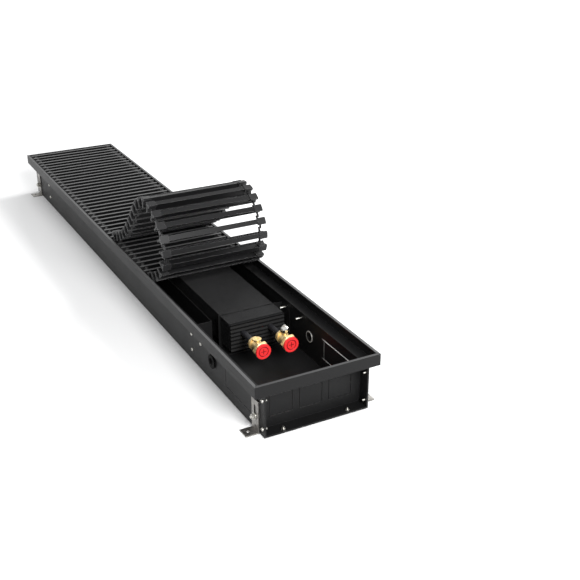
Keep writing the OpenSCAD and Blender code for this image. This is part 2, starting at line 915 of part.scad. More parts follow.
// Section of a bar, made g larger all round
module bar_section(g = 0) {
    translate([-bar_w / 2 - g, -bar_flange - g]) square([bar_w + 2 * g, bar_flange + 2 * g]);
    translate([-bar_web / 2 - g, -bar_h - g]) square([bar_web + 2 * g, bar_h + g]);
    translate([-bar_sole / 2 - g, -bar_h - g]) square([bar_sole + 2 * g, bar_flange + 2 * g]);
}

module blade() {
    translate([-bar_l / 2, 0, 0]) rotate([90, 0, 90]) linear_extrude(bar_l) bar_section();
}

// The clip that grips the end of a bar: a shoe under it and a waist up to its flange
module clip_section() {
    low = -bar_h - clip_foot_t;
    shoe = low + (bar_h + clip_foot_t) * clip_shoe_share;
    difference() {
        polygon([[-clip_w / 2, low], [clip_w / 2, low], [clip_w / 2, shoe],
                 [clip_waist / 2, -bar_h / 2], [clip_waist / 2, -bar_flange],
                 [-clip_waist / 2, -bar_flange], [-clip_waist / 2, -bar_h / 2],
                 [-clip_w / 2, shoe]]);
        bar_section(snug_gap);
    }
}

// Its arm to the hinge line on side s, with a hole where the pin of the next clip turns
module arm_section(s, bored) {
    tip = s * bar_pitch / 2;
    difference() {
        union() {
            polygon([[0, -bar_flange], [tip, -bar_flange], [tip, -pin_depth - eye_r],
                     [0, -pin_depth - eye_r - bar_h * arm_root_share]]);
            translate([tip, -pin_depth]) circle(r = eye_r);
        }
        if (bored) translate([tip, -pin_depth]) circle(r = pin_r + run_gap);
        bar_section(snug_gap);
    }
}

// One clip, with its pin on the inner arm and its hole in the outer one
module clip(inner, outer) {
    rotate([90, 0, 90]) {
        linear_extrude(clip_l) clip_section();
        if (inner) translate([0, 0, lap - seat_gap / 2 - arm_w]) {
            linear_extrude(arm_w) arm_section(1, false);
            translate([bar_pitch / 2, -pin_depth]) cylinder(r = pin_r, h = 2 * arm_w + seat_gap);
        }
        if (outer) translate([0, 0, lap + seat_gap / 2]) linear_extrude(arm_w) arm_section(-1, true);
    }
}

module clips(inner, outer) {
    translate([-bar_l / 2 + clip_inset, 0, 0]) clip(inner, outer);
    mirror([1, 0, 0]) translate([-bar_l / 2 + clip_inset, 0, 0]) clip(inner, outer);
}

module flat_places(last) {
    for (i = [0 : last]) translate([0, hinge_y + (i + 0.5) * bar_pitch, bar_top]) children();
}

module flat_bars() {
    color([0.34, 0.35, 0.36]) flat_places(flat_count - 1) blade();
}

module flat_clips() {
    color([0.5, 0.5, 0.5]) {
        flat_places(flat_count - 2) clips(true, true);
        translate([0, (flat_count - 1) * bar_pitch, 0]) flat_places(0) clips(false, true);
    }
}

// Bar n of the fold, counted from the flat part
module folded_bar(n) {
    translate([0, hinge_y + run(fold_leans, n), hinge_z + rise(fold_leans, n)])
        rotate([-fold_leans[n], 0, 0]) translate([0, -bar_pitch / 2, pin_depth]) {
            color([0.34, 0.35, 0.36]) blade();
            color([0.5, 0.5, 0.5]) clips(true, n < folded_bars - 1);
        }
}

trench();
end_panel_near();
end_panel_far();
rail_left();
rail_right();
apron_near();
apron_far();
panel_screws();
panel_studs();
fins();
end_fins();
pipe_supply();
pipe_return();
return_bend();
support_near();
support_far();
wall_screws();
air_guide();
valve_supply();
valve_return();
union_nut_supply();
union_nut_return();
drain_plug();
air_vent();
vent_screw();
cap_supply();
cap_return();
grommet();
gland_ring();
foot_near_left();
foot_near_right();
foot_far_left();
foot_far_right();
foot_bolts();
foot_washers();
foot_nuts();
flat_bars();
flat_clips();
for (n = [0 : folded_bars - 1]) folded_bar(n);
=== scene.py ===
# %% [markdown]
# # A trench convector heater with a roll-up grille
# This heater is let into a floor in front of a window. Cold air falls through the grille, passes
# the fins of a heat exchanger and rises warm. Here the heater stands on a white floor before it is
# built in, with the near end of its grille rolled back so that the pipe connections show.
#
# Every rigid part comes ready from the construction model. This lesson gives those parts their
# finishes, then makes the finer pieces: thin fins, chamfered nuts, studs, screws and a vent. All
# lengths are in metres. X runs across the heater, Y along it to the far end, and Z up.

import json
import math

import bmesh
import bpy
from mathutils import Matrix, Vector


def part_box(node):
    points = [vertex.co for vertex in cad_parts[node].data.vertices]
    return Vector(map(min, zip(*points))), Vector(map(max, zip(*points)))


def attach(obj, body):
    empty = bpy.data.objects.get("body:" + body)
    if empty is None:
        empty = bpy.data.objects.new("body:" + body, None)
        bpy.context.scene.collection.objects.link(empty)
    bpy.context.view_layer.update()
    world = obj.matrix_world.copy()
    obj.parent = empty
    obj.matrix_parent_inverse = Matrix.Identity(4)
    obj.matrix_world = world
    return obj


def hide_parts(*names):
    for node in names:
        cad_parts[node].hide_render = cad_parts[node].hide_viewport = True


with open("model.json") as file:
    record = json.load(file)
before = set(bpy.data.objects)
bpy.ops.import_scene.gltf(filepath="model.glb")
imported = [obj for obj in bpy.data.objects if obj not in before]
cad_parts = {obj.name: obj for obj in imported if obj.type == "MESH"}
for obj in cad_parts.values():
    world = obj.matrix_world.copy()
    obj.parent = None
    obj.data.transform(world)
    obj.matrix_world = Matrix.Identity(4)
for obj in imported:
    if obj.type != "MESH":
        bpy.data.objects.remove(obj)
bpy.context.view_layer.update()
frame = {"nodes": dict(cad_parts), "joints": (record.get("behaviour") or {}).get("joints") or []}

# %% [markdown]
# ## The camera
# The photograph was taken from the left front, a little above the heater, with a long lens. Such a
# view could be set by eye, but then no edge would quite fit. So it is worked out: the vanishing
# points of the long edges give the direction, and the width of the rim in the picture gives the
# distance. The camera looks along minus its own Z, so the matrix below holds its right, up and
# back directions as columns.


# %% Camera
def add_to_scene(name, data):
    thing = bpy.data.objects.new(name, data)
    bpy.context.scene.collection.objects.link(thing)
    return thing


turn, tilt = math.radians(-28.25), math.radians(25.1447)
back = Vector((math.sin(turn) * math.cos(tilt), -math.cos(turn) * math.cos(tilt), math.sin(tilt)))
right = Vector((math.cos(turn), math.sin(turn), 0))
up = back.cross(right)
directions = Matrix((right, up, back)).transposed().to_4x4()
stand = Matrix.Translation((-0.7335, -1.9916, 0.946))

lens = bpy.data.cameras.new("camera")
lens.sensor_width = 36
lens.lens = 60.33
camera = add_to_scene("camera", lens)
camera.matrix_world = stand @ directions
bpy.context.scene.camera = camera
print("camera looks along", tuple(round(-c, 3) for c in back))

# %% [markdown]
# ## Arithmetic for materials
# A material is a network of nodes. Written out node by node it is hard to read, so a small class
# stands for the value on one wire and lets ordinary arithmetic build the Math nodes. The reflected
# forms are there too, so that a number may come first, as in `1 - mask`.


# %% Wires
class Wire:
    """The value that leaves one socket of a network."""

    def __init__(self, network, socket):
        self.network, self.socket = network, socket

    def math(self, operation, *values):
        sockets = dict(enumerate((self, *values)))
        return self.network.node("ShaderNodeMath", {"operation": operation}, sockets)

    def flipped(self, operation, other):
        return self.network.node("ShaderNodeMath", {"operation": operation}, {0: other, 1: self})

    def __add__(self, other):
        return self.math("ADD", other)

    __radd__ = __add__

    def __sub__(self, other):
        return self.math("SUBTRACT", other)

    def __rsub__(self, other):
        return self.flipped("SUBTRACT", other)

    def __mul__(self, other):
        return self.math("MULTIPLY", other)

    __rmul__ = __mul__

    def __truediv__(self, other):
        return self.math("DIVIDE", other)

    def __rtruediv__(self, other):
        return self.flipped("DIVIDE", other)

    def __pow__(self, other):
        return self.math("POWER", other)

    def __rpow__(self, other):
        return self.flipped("POWER", other)

    def clamped(self):
        return self.network.node("ShaderNodeClamp", {}, {0: self})

    def above(self, low, high):
        """0 below low, 1 above high, and a straight rise between."""
        return ((self - low) / (high - low)).clamped()


print("numbers may come first in", [name for name in vars(Wire) if name.startswith("__r")])

# %% [markdown]
# ## Networks and finishes
# One method adds any node: its settings go in first, then the values or wires of its sockets. The
# materials use it, and so does the background of the scene.
#
# A finish is a network that ends in a Principled surface. Images would need every part unwrapped.
# These finishes read Object coordinates instead, which here are the places on the heater at rest,
# so they fit any part and stay on it when it moves.


# %% Networks
class Network:
    """The nodes of one material, or of the background."""

    def __init__(self, tree):
        self.tree = tree

    def node(self, kind, settings=None, sockets=None, out=0):
        """Adds a node, settings first, and gives the wire from one of its outputs."""
        made = self.tree.nodes.new(kind)
        for name, value in (settings or {}).items():
            setattr(made, name, value)
        for key, value in (sockets or {}).items():
            self.feed(made.inputs[key], value)
        return Wire(self, made.outputs[out])

    def feed(self, socket, value):
        if isinstance(value, Wire):
            self.tree.links.new(value.socket, socket)
        elif isinstance(value, tuple) and socket.type == "RGBA":
            socket.default_value = (*value, 1)
        else:
            socket.default_value = value


print("a network has", [name for name in vars(Network) if not name.startswith("_")])


# %% Finishes
class Finish(Network):
    """One material, built from a Principled surface."""

    def __init__(self, name):
        self.material = bpy.data.materials.new(name)
        self.material.use_nodes = True
        super().__init__(self.material.node_tree)
        self.surface = self.tree.nodes["Principled BSDF"]

    def shade(self, **values):
        for name, value in values.items():
            self.feed(self.surface.inputs[name.replace("_", " ")], value)
        return self

    def colour_so_far(self):
        return Wire(self, self.surface.inputs["Base Color"].links[0].from_socket)

    def mixed(self, mask, first, second):
        return self.node("ShaderNodeMix", {"data_type": "RGBA"}, {0: mask, 6: first, 7: second}, 2)

    def place(self, stretch=(1, 1, 1)):
        """Where a point lies on the heater, stretched along each axis."""
        here = self.node("ShaderNodeTexCoord", {}, {}, "Object")
        return self.node("ShaderNodeVectorMath", {"operation": "MULTIPLY"}, {0: here, 1: stretch})

    def along(self, axis, output="Object"):
        """One coordinate of the place on the heater, or of the surface direction there."""
        here = self.node("ShaderNodeTexCoord", {}, {}, output)
        return self.node("ShaderNodeSeparateXYZ", {}, {0: here}, axis)

    def noise(self, scale, detail=2, stretch=(1, 1, 1)):
        return self.node("ShaderNodeTexNoise", {},
                         {"Vector": self.place(stretch), "Scale": scale, "Detail": detail})


print("a finish has", [name for name in vars(Finish) if not name.startswith("_")])

# %% [markdown]
# ## Soft edges
# Folded sheet, mouldings and extrusions all have small radii that catch the light. They could be
# modelled with a bevel on each part, but that would change sixty shapes. A Bevel node only bends
# the surface direction near an edge, as if it had that radius. Where the bent direction differs
# from the flat one there is an edge, and that gives a mask for a lighter edge colour: wear, and a
# painted highlight where the rounded edges catch the light.


# %% Edges and bumps
def rounded(finish, radius):
    """A surface direction that is bent near edges, as if they had that radius."""
    return finish.node("ShaderNodeBevel", {"samples": 4}, {"Radius": radius})


def edges(finish, radius):
    """1 along the edges, 0 on flat ground."""
    flat = finish.node("ShaderNodeNewGeometry", {}, {}, "Normal")
    same = finish.node("ShaderNodeVectorMath", {"operation": "DOT_PRODUCT"},
                       {0: flat, 1: rounded(finish, radius)}, "Value")
    return (1 - same).above(0.02, 0.25)


def bumped(finish, height, depth, radius):
    return finish.node("ShaderNodeBump", {}, {"Strength": 1, "Distance": depth, "Height": height,
                                              "Normal": rounded(finish, radius)})


print("edges and bumps are ready")

# %% [markdown]
# ## Painted highlights on the bare cuts in the right wall
# The slits round the knock-outs were cut after the sheet was coated. On the right wall they are
# seen from inside, and their bare edges get a painted highlight. The slits are real openings in
# the part, so no separate piece is needed. A mask of narrow bands finds their edges by the three
# coordinates.


# %% Bare cuts
def band(finish, axis, centre, half):
    """1 within half a width of a centre line, 0 outside."""
    away = (finish.along(axis) - centre).math("ABSOLUTE")
    return 1 - away.above(half, 1.2 * half)


def bare_cuts_highlight(finish):
    """The cut edges round the knock-out, on the inner face of the right wall, with their painted
    highlight.
    """
    inner_face = 0.1036
    middle_y, middle_z = -0.627, 0.0455
    slit_y, slit_z = 0.0544, 0.0204  # from the middle to the slits
    reach_y, reach_z = 0.054, 0.0205  # from the middle to their ends
    # painted highlight: upper cut faces brightest, lower ones less, upright ones least, as light
    # falls from above
    level = (band(finish, "Z", middle_z + slit_z, 0.0011)
             + 0.45 * band(finish, "Z", middle_z - slit_z, 0.0011))
    upright = (band(finish, "Y", middle_y - slit_y, 0.0009)
               + band(finish, "Y", middle_y + slit_y, 0.0009))
    cuts = (level * band(finish, "Y", middle_y, reach_y)
            + 0.25 * upright * band(finish, "Z", middle_z, reach_z))
    return cuts.clamped() * band(finish, "X", inner_face, 0.0006)


print("bare cuts are ready")

# %% [markdown]
# ## Powder coat
# The trench, its end panels and the inner sheets are steel with a baked powder coat. Such a coat
# is satin, nearly black, and has a fine orange peel about a millimetre across. It thins out on
# sharp edges, which are painted a little lighter, for that wear and as a painted highlight where
# the edges catch the light. An image could show all this, but noises follow any shape without
# one: a fine one for the peel, and a coarse one for the slow change of gloss and wear.


# %% Powder coat
def powder_coat(name, colour, edge_colour, gloss):
    finish = Finish(name)
    cloud = finish.noise(14, 3)
    peel = finish.noise(900, 2)
    # lighter edges: worn coat, and a painted highlight where the edges catch the light
    worn_and_lit_edges = edges(finish, 0.0006) * (0.4 + 0.6 * cloud)
    ground = finish.mixed(cloud.above(0.3, 0.7), colour, tuple(1.25 * c for c in colour))
    coat = finish.mixed(worn_and_lit_edges, ground, edge_colour)
    return finish.shade(
        # cut edges painted nearly white: bare steel and a painted highlight
        Base_Color=finish.mixed(bare_cuts_highlight(finish), coat, (0.85, 0.85, 0.83)),
        Roughness=gloss + 0.12 * (cloud - 0.5) + 0.05 * (peel - 0.5),
        Specular_IOR_Level=0.22,
        Normal=bumped(finish, peel, 0.00006, 0.0005))


coat_black = (0.0045, 0.0045, 0.0047)
sheet_coat = powder_coat("sheet_coat", coat_black, edge_colour=(0.035, 0.035, 0.036), gloss=0.5)
inner_coat = powder_coat("inner_coat", (0.005, 0.005, 0.0052),
                         edge_colour=(0.03, 0.03, 0.031), gloss=0.55)
print("powder coats:", sheet_coat.material.name, inner_coat.material.name)

# %% [markdown]
# ## Lighter tops of the grille
# The frame and the bars are walked on, which polishes their tops. The tops are also painted
# lighter as a painted highlight, for the light that falls on them from above. On the rim and the
# flat bars a top is a face that looks up at the height of the rim. On a folded bar it may look
# anywhere, even down. Painting each bar by hand would take 22 materials. Instead each folded bar
# carries one number, its lean, and an Attribute node reads it. The surface direction is then
# compared with the direction in which the top of that bar looks. The same material shows the
# plastic clips at the ends of a folded bar, because there bar and clips are one part.


# %% Masks for tops and clips
def box_of(node):
    """The lowest and the highest corner of a part of the construction model."""
    low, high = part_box(node)
    return Vector(low), Vector(high)


def rim_tops(finish, depth=0.0065):
    """Faces that look up, less than a depth below the top of the rim."""
    upward = finish.along("Z", "Normal").above(0.8, 0.95)
    start = box_of("rail_left")[1].z - depth
    return upward * finish.along("Z").above(start, start + 0.002)


def bar_tops(finish):
    """The tops of the folded bars, wherever they look."""
    lean = finish.node("ShaderNodeAttribute",
                       {"attribute_type": "OBJECT", "attribute_name": "lean"}, {}, "Fac")
    upward = (finish.along("Y", "Normal") * lean.math("SINE")
              + finish.along("Z", "Normal") * lean.math("COSINE"))
    return upward.above(0.8, 0.95)


def bar_clips(finish, reach=0.018):
    """Both ends of a folded bar, where its clips sit."""
    start = box_of("bar_12")[1].x - reach
    return finish.along("X").math("ABSOLUTE").above(start, start + 0.0002)


print("bars end", round(box_of("bar_12")[1].x, 4), "from the middle of the heater")

# %% [markdown]
# ## Coated extrusions
# The frame and the bars of the grille are pressed through a die, which leaves fine lines along
# their length. Modelled lines would be far too many. A noise that is stretched, many times across
# the length and hardly along it, turns into streaks. It feeds both the gloss and a very shallow
# bump.


# %% Frame and bars
clip_colour = (0.018, 0.018, 0.0185)


def extrusion(name, colour, top_polish_and_highlight, edge_colour, stretch, gloss, tops, clips=None):
    finish = Finish(name)
    lines = finish.noise(1, 2, stretch)
    cloud = finish.noise(9, 2)
    # lighter edges: wear, and a painted highlight where the rounded edges catch the light
    worn_and_lit_edges = edges(finish, 0.0005) * 0.8
    ground = finish.mixed(cloud, colour, tuple(1.3 * c for c in colour))
    if clips:
        ground = finish.mixed(clips(finish), ground, clip_colour)
    # tops get a lighter colour: polish from feet, and a painted highlight for the light from above
    ground = finish.mixed(tops(finish), ground, top_polish_and_highlight)
    return finish.shade(
        Base_Color=finish.mixed(worn_and_lit_edges, ground, edge_colour),
        Specular_IOR_Level=0.2,
        Roughness=gloss + 0.14 * (lines - 0.5) + 0.06 * (cloud - 0.5),
        Normal=bumped(finish, lines, 0.00003, 0.0004))


frame_coat = extrusion(
    "frame_coat", coat_black, top_polish_and_highlight=(0.09, 0.09, 0.091),
    edge_colour=(0.07, 0.07, 0.072), stretch=(900, 12, 900), gloss=0.45, tops=rim_tops)
apron_coat = extrusion(
    "apron_coat", coat_black, top_polish_and_highlight=(0.045, 0.045, 0.046),
    edge_colour=(0.07, 0.07, 0.072), stretch=(12, 900, 900), gloss=0.45, tops=rim_tops)
# the lighter top colour of the bars is polish and a painted highlight
bar_black, bar_top_polish_and_highlight = (0.006, 0.006, 0.0063), (0.10, 0.10, 0.10)
bar_coat = extrusion(
    "bar_coat", bar_black, bar_top_polish_and_highlight,
    edge_colour=(0.14, 0.14, 0.143), stretch=(9, 1100, 1100), gloss=0.36, tops=rim_tops)
folded_coat = extrusion(
    "folded_coat", bar_black, bar_top_polish_and_highlight,
    edge_colour=(0.30, 0.30, 0.303), stretch=(9, 1100, 1100), gloss=0.36,
    tops=bar_tops, clips=bar_clips)
print("extrusions:", frame_coat.material.name, apron_coat.material.name,
      bar_coat.material.name, folded_coat.material.name)

# %% [markdown]
# ## Plastic, rubber and the coated heat exchanger
# The clips under the bars are moulded plastic with a spark-eroded, matt skin. The grommet is
# rubber, which hardly shines. The caps over the connections are glossy red plastic, a little
# uneven where it cooled. The fins and pipes carry the same thin black dip. All of these are one
# colour with a grain, so one function makes them and only their numbers differ.


# %% Plastics, rubber and the dip
def moulded(name, colour, gloss, grain, depth, coat=0.0, shine=0.5):
    finish = Finish(name)
    skin = finish.noise(grain, 2)
    cloud = finish.noise(60, 2)
    return finish.shade(
        Base_Color=finish.mixed(cloud, tuple(0.85 * c for c in colour), colour),
        Roughness=gloss + 0.1 * (cloud - 0.5),
        Coat_Weight=coat,
        Coat_Roughness=0.25,
        Specular_IOR_Level=shine,
        Normal=bumped(finish, skin, depth, 0.0004))


clip_plastic = moulded("clip_plastic", clip_colour, 0.45, 1800, 0.00008)
cap_plastic = moulded("cap_plastic", (0.97, 0.04, 0.042), 0.36, 700, 0.00003, coat=0.1)
rubber = moulded("rubber", (0.005, 0.005, 0.005), 0.8, 1200, 0.00006, shine=0.15)
fin_dip = moulded("fin_dip", (0.011, 0.011, 0.0114), 0.5, 500, 0.00005, shine=0.35)
pipe_dip = moulded("pipe_dip", (0.02, 0.02, 0.023), 0.34, 600, 0.00003)
print("moulded:", clip_plastic.material.name, cap_plastic.material.name, rubber.material.name)
print("dipped:", fin_dip.material.name, pipe_dip.material.name)

# %% [markdown]
# ## The marks in the caps
# Each cap has a ring and a cross sunk into its face. They are real grooves, but so narrow that
# little of their own shade reaches the picture. A deeper groove would be wrong from nearby. So a
# mask finds the ground of the grooves, a little behind the face and near the axis of either cap,
# and gives it a darker red, a painted shade in the grooves.


# %% Marks in the caps
def round_about(finish, first, second):
    """Distance from a line, given as an axis and its place for two axes."""
    squares = [(finish.along(axis) - place) ** 2 for axis, place in (first, second)]
    return (squares[0] + squares[1]) ** 0.5


def paint_groove_shade(finish, ring=0.0107, blur=0.0001):
    """The ground of the grooves in the caps, out to the edge of their ring, gets a painted shade.
    """
    caps = [box_of(node) for node in ("cap_supply", "cap_return")]
    face, height = caps[0][0].y, (caps[0][0].z + caps[0][1].z) / 2
    radii = [round_about(finish, ("X", (low.x + high.x) / 2), ("Z", height)) for low, high in caps]
    near_axis = 1 - radii[0].math("MINIMUM", radii[1]).above(ring - blur, ring + blur)
    sunk = (finish.along("Y") - face).above(0.0002, 0.0005) * near_axis
    # dark red on the ground of the grooves: painted shade
    finish.shade(Base_Color=finish.mixed(sunk, finish.colour_so_far(), (0.16, 0.003, 0.006)))


paint_groove_shade(cap_plastic)
print("marks darkened in", cap_plastic.material.name)

# %% [markdown]
# ## Bare metals
# Brass and nickel fittings are turned and then rubbed bright, so they shine but keep soft
# highlights. Zinc on the brackets and screws is duller, with patches from the bath. A metal takes
# its look from what it mirrors, so only its colour, its gloss and a faint bump are set.


# %% Brass, nickel and zinc
def bare_metal(name, colour, dark, gloss, patches, depth=0.00003, patchy=0.16):
    finish = Finish(name)
    spots = finish.noise(patches, 3)
    fine = finish.noise(1500, 2)
    return finish.shade(
        Base_Color=finish.mixed(spots.above(0.35, 0.65), dark, colour),
        Metallic=1.0,
        Roughness=gloss + patchy * (spots - 0.5) + 0.06 * (fine - 0.5),
        Normal=bumped(finish, fine, depth, 0.0004))


brass = bare_metal("brass", (0.95, 0.75, 0.40), (0.90, 0.69, 0.35), 0.5, 90, patchy=0.06)
nickel = bare_metal("nickel", (0.78, 0.77, 0.74), (0.62, 0.61, 0.58), 0.22, 120)
zinc = bare_metal("zinc", (0.60, 0.59, 0.55), (0.42, 0.41, 0.38), 0.36, 160, depth=0.00006)
bracket_zinc = bare_metal("bracket_zinc", (0.34, 0.33, 0.31), (0.22, 0.21, 0.2), 0.42, 140,
                          depth=0.00006)
print("metals:", brass.material.name, nickel.material.name, zinc.material.name,
      bracket_zinc.material.name)

# %% [markdown]
# ## The plug in the right wall
# This plug is closed by a black lid inside a pale metal ring. Both are one part, so a circle round
# its axis parts the two finishes. The ring is worn dull, and a pure metal would only mirror the
# dark wall opposite. So it is made partly a metal and keeps a colour of its own.


# %% Ring and lid of the plug
def blacken_lid(finish, radius=0.01, blur=0.0001):
    low, high = box_of("gland_ring")
    off_axis = round_about(finish, ("Y", (low.y + high.y) / 2), ("Z", (low.z + high.z) / 2))
    lid = 1 - off_axis.above(radius - blur, radius + blur)
    finish.shade(
        Base_Color=finish.mixed(lid, finish.colour_so_far(), (0.006, 0.006, 0.006)),
        Metallic=0.3 - 0.3 * lid)


plug_finish = bare_metal("plug_finish", (0.80, 0.79, 0.76), (0.66, 0.65, 0.62), 0.3, 120)
blacken_lid(plug_finish)
print("plug:", plug_finish.material.name)

# %% [markdown]
# ## Finishes for the construction parts
# Each part of the construction model keeps its shape and gets one of the finishes above. The table
# names the parts. What isn't in it and is no folded bar or foot is a screw, a stud, a washer or a
# nut, all in zinc.

# %% Finish every construction part
finish_of = {
    "trench": sheet_coat, "end_panel_near": sheet_coat, "end_panel_far": sheet_coat,
    "rail_left": frame_coat, "rail_right": frame_coat,
    "apron_near": apron_coat, "apron_far": apron_coat,
    "support_near": inner_coat, "support_far": inner_coat, "air_guide": inner_coat,
    # end_fins take the darker inner coat instead of the fin dip: painted shade on the front of the
    # exchanger
    "fins": fin_dip, "end_fins": inner_coat,
    "pipe_supply": pipe_dip, "pipe_return": pipe_dip, "return_bend": pipe_dip,
    "valve_supply": brass, "valve_return": brass,
    "union_nut_supply": brass, "union_nut_return": brass, "drain_plug": brass,
    "air_vent": nickel, "vent_screw": nickel, "gland_ring": plug_finish,
    "cap_supply": cap_plastic, "cap_return": cap_plastic,
    "grommet": rubber, "flat_bars": bar_coat, "flat_clips": clip_plastic,
}


def finish_for(node):
    if node.startswith("bar_"):
        return folded_coat
    if node.startswith(("foot_near", "foot_far")):
        return bracket_zinc
    return finish_of.get(node, zinc)


for node, part in frame["nodes"].items():
    part.data.materials.clear()
    part.data.materials.append(finish_for(node).material)
print("finished parts:", len(frame["nodes"]))

# %% [markdown]
# ## How far each folded bar leans
# The hinges of the grille come in order, from its flat part to its free end. Each one stands at 0
# in the fold, and its other limit is where it lies straight. So the sum of its two limits is its
# whole turn, and a bar leans by its own turn and all those before it.

# %% Lean of the folded bars
lean = 0.0
for fold in (joint for joint in frame["joints"] if joint["name"].endswith("_fold")):
    lean += math.radians(sum(fold["range_deg"]))
    frame["nodes"][fold["child"]]["lean"] = lean
print("the last bar leans by", round(math.degrees(lean), 1), "degrees")

# %% [markdown]
# ## The studio floor
# The heater stands on a white floor that runs out into a white background. More light would also
# wash out the heater. So the floor is a plain pale grey to the lamps, and glows only for rays that
# look at it, straight, in a mirror or through glass. The glow grows with the distance from the
# heater, where a way along its length counts a quarter. So the floor reaches white and still
# keeps the shadow.


# %% Floor
def seen(network):
    """1 for the rays that look at the background, 0 for the rays that light the heater."""
    rays = [network.node("ShaderNodeLightPath", {}, {}, name)
            for name in ("Is Camera Ray", "Is Glossy Ray", "Is Transmission Ray")]
    return (rays[0] + rays[1] + rays[2]).clamped()


def white_floor(near=0.24, far=0.66, least=0.12):
    """Pale grey that glows more and more between two distances from the heater."""
    finish = Finish("floor_white")
    away = finish.node("ShaderNodeVectorMath", {"operation": "LENGTH"},
                       {0: finish.place((1, 0.25, 0))}, "Value")
    glow = seen(finish) * (least + (1 - least) * away.above(near, far))
    return finish.shade(
        Base_Color=(0.86, 0.86, 0.86),
        Roughness=0.9,
        Specular_IOR_Level=0.0,
        Emission_Color=finish.mixed(glow, (0, 0, 0), (1, 1, 1)),
        Emission_Strength=1)


reach = 14
floor_mesh = bpy.data.meshes.new("floor")
floor_mesh.from_pydata([(-reach, -reach, 0), (reach, -reach, 0), (reach, reach, 0),
                        (-reach, reach, 0)], [], [(0, 1, 2, 3)])
floor_mesh.materials.append(white_floor().material)
floor = add_to_scene("floor", floor_mesh)
print("the floor reaches", reach, "metres each way")

# %% [markdown]
# ## Background
# The same rays see a white background, and all others get a dimmer, even light from it. Two
# backgrounds are mixed for this. One alone would either be grey or light the heater too much.

# %% Background
world = bpy.data.worlds.new("white_room")
bpy.context.scene.world = world
world.use_nodes = True
room = Network(world.node_tree)
shown = room.node("ShaderNodeBackground", {}, {"Color": (1, 1, 1), "Strength": 1})
lit = room.node("ShaderNodeBackground", {}, {"Color": (0.98, 0.99, 1), "Strength": 0.48})
either = room.node("ShaderNodeMixShader", {}, {0: seen(room), 1: lit, 2: shown})
room.feed(room.tree.nodes["World Output"].inputs["Surface"], either)
room.tree.nodes.remove(room.tree.nodes["Background"])
print("background nodes:", len(room.tree.nodes))

# %% [markdown]
# ## Lamps
# One large soft lamp on the right makes the shadow on the left, as in the photograph. Another from
# the front lights the caps and the end panel. Large discs are chosen over small or point lamps,
# because the shadows have soft edges. The Standard view shows each colour as it is written.


# %% Lamps
def facing(place, direction, spin=0.0):
    """A frame at a place whose Z points along a direction."""
    turned = Vector(direction).to_track_quat("Z", "Y").to_matrix().to_4x4()
    return Matrix.Translation(place) @ turned @ Matrix.Rotation(spin, 4, "Z")


def lamp(name, place, aim, size, power):
    light = bpy.data.lights.new(name, "AREA")
    light.shape, light.size, light.energy = "DISK", size, power
    thing = add_to_scene(name, light)
    thing.matrix_world = facing(place, Vector(place) - Vector(aim))


lamp("key", place=(2.7, 0.9, 2.2), aim=(0, -0.2, 0.1), size=1.6, power=95)
lamp("front", place=(-0.1, -2.8, 1.7), aim=(0, -0.4, 0.1), size=1.2, power=100)
bpy.context.scene.view_settings.view_transform = "Standard"
print("lamps:", [light.name for light in bpy.data.lights])

# %% [markdown]
# ## The lathe
# Nuts, screws, studs and the vent are turned, or start from bar stock. A Screw modifier could spin
# an outline, but it can't cut flats. This small class spins an outline round an axis and may cut
# any ring of it to a hexagon or another polygon. That turns the same kind of outline into a nut
# with chamfered corners or a head with a square recess.


# %% Shapes
class Shape:
    """Points and faces, gathered from simple forms into one mesh."""

    def __init__(self):
        self.points, self.faces = [], []

    def add(self, points, faces, place=Matrix()):
        first = len(self.points)
        self.points += [place @ Vector(p) for p in points]
        self.faces += [tuple(first + i for i in face) for face in faces]
        return self

    def box(self, low, high):
        (a, b, c), (d, e, f) = low, high
        points = [(a, b, c), (d, b, c), (d, e, c), (a, e, c),
                  (a, b, f), (d, b, f), (d, e, f), (a, e, f)]
        faces = [(0, 3, 2, 1), (4, 5, 6, 7), (0, 1, 5, 4),
                 (1, 2, 6, 5), (2, 3, 7, 6), (3, 0, 4, 7)]
        return self.add(points, faces)

    def turned(self, outline, place=Matrix(), steps=36, closed=False, sides=6):
        """Spins (radius, height) points, or (radius, height, flats) for rings cut to a polygon."""
        points, faces = [], []
        for radius, height, *flats in outline:
            for k in range(steps):
                angle = 2 * math.pi * k / steps
                reach = radius
                if flats:
                    part = (angle + math.pi / sides) % (2 * math.pi / sides) - math.pi / sides
                    reach = min(reach, flats[0] / 2 / math.cos(part))
                points.append((reach * math.cos(angle), reach * math.sin(angle), height))
        rings = len(outline)
        for r in range(rings if closed else rings - 1):
            low, high = r * steps, (r + 1) % rings * steps
            for k in range(steps):
                after = (k + 1) % steps
                faces.append((low + k, low + after, high + after, high + k))
        if not closed:
            faces.append(tuple(reversed(range(steps))))
            faces.append(tuple((rings - 1) * steps + k for k in range(steps)))
        return self.add(points, faces, place)


print("a shape has", [name for name in vars(Shape) if not name.startswith("_")])

# %% [markdown]
# ## From shape to piece
# A piece takes the place of a part of the construction model. It rides on the body of that part,
# so that it moves with it, and it takes the material of its finish. Its faces are shaded smooth,
# except across edges that are sharper than a given angle.


# %% Pieces
def piece(name, shape, body, finish, stands_for, sharp=35):
    mesh = bpy.data.meshes.new(name)
    mesh.from_pydata([tuple(p) for p in shape.points], [], shape.faces)
    mesh.validate()
    mesh.materials.append(finish.material)
    mesh.shade_smooth()
    mesh.set_sharp_from_angle(angle=math.radians(sharp))
    thing = add_to_scene(name, mesh)
    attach(thing, body)
    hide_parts(*stands_for)
    print(name, len(mesh.vertices), "points")


print("pieces can be made")

# %% [markdown]
# ## The fins
# The heat exchanger is a stack of thin aluminium fins on two pipes. The construction model holds
# only every fourth fin. Here the whole stack is made, one thin sheet every two and a half
# millimetres, each with a folded lip along its top that keeps it at its distance. An Array
# modifier would do it too, but a loop makes the last fin end exactly where the part ends.


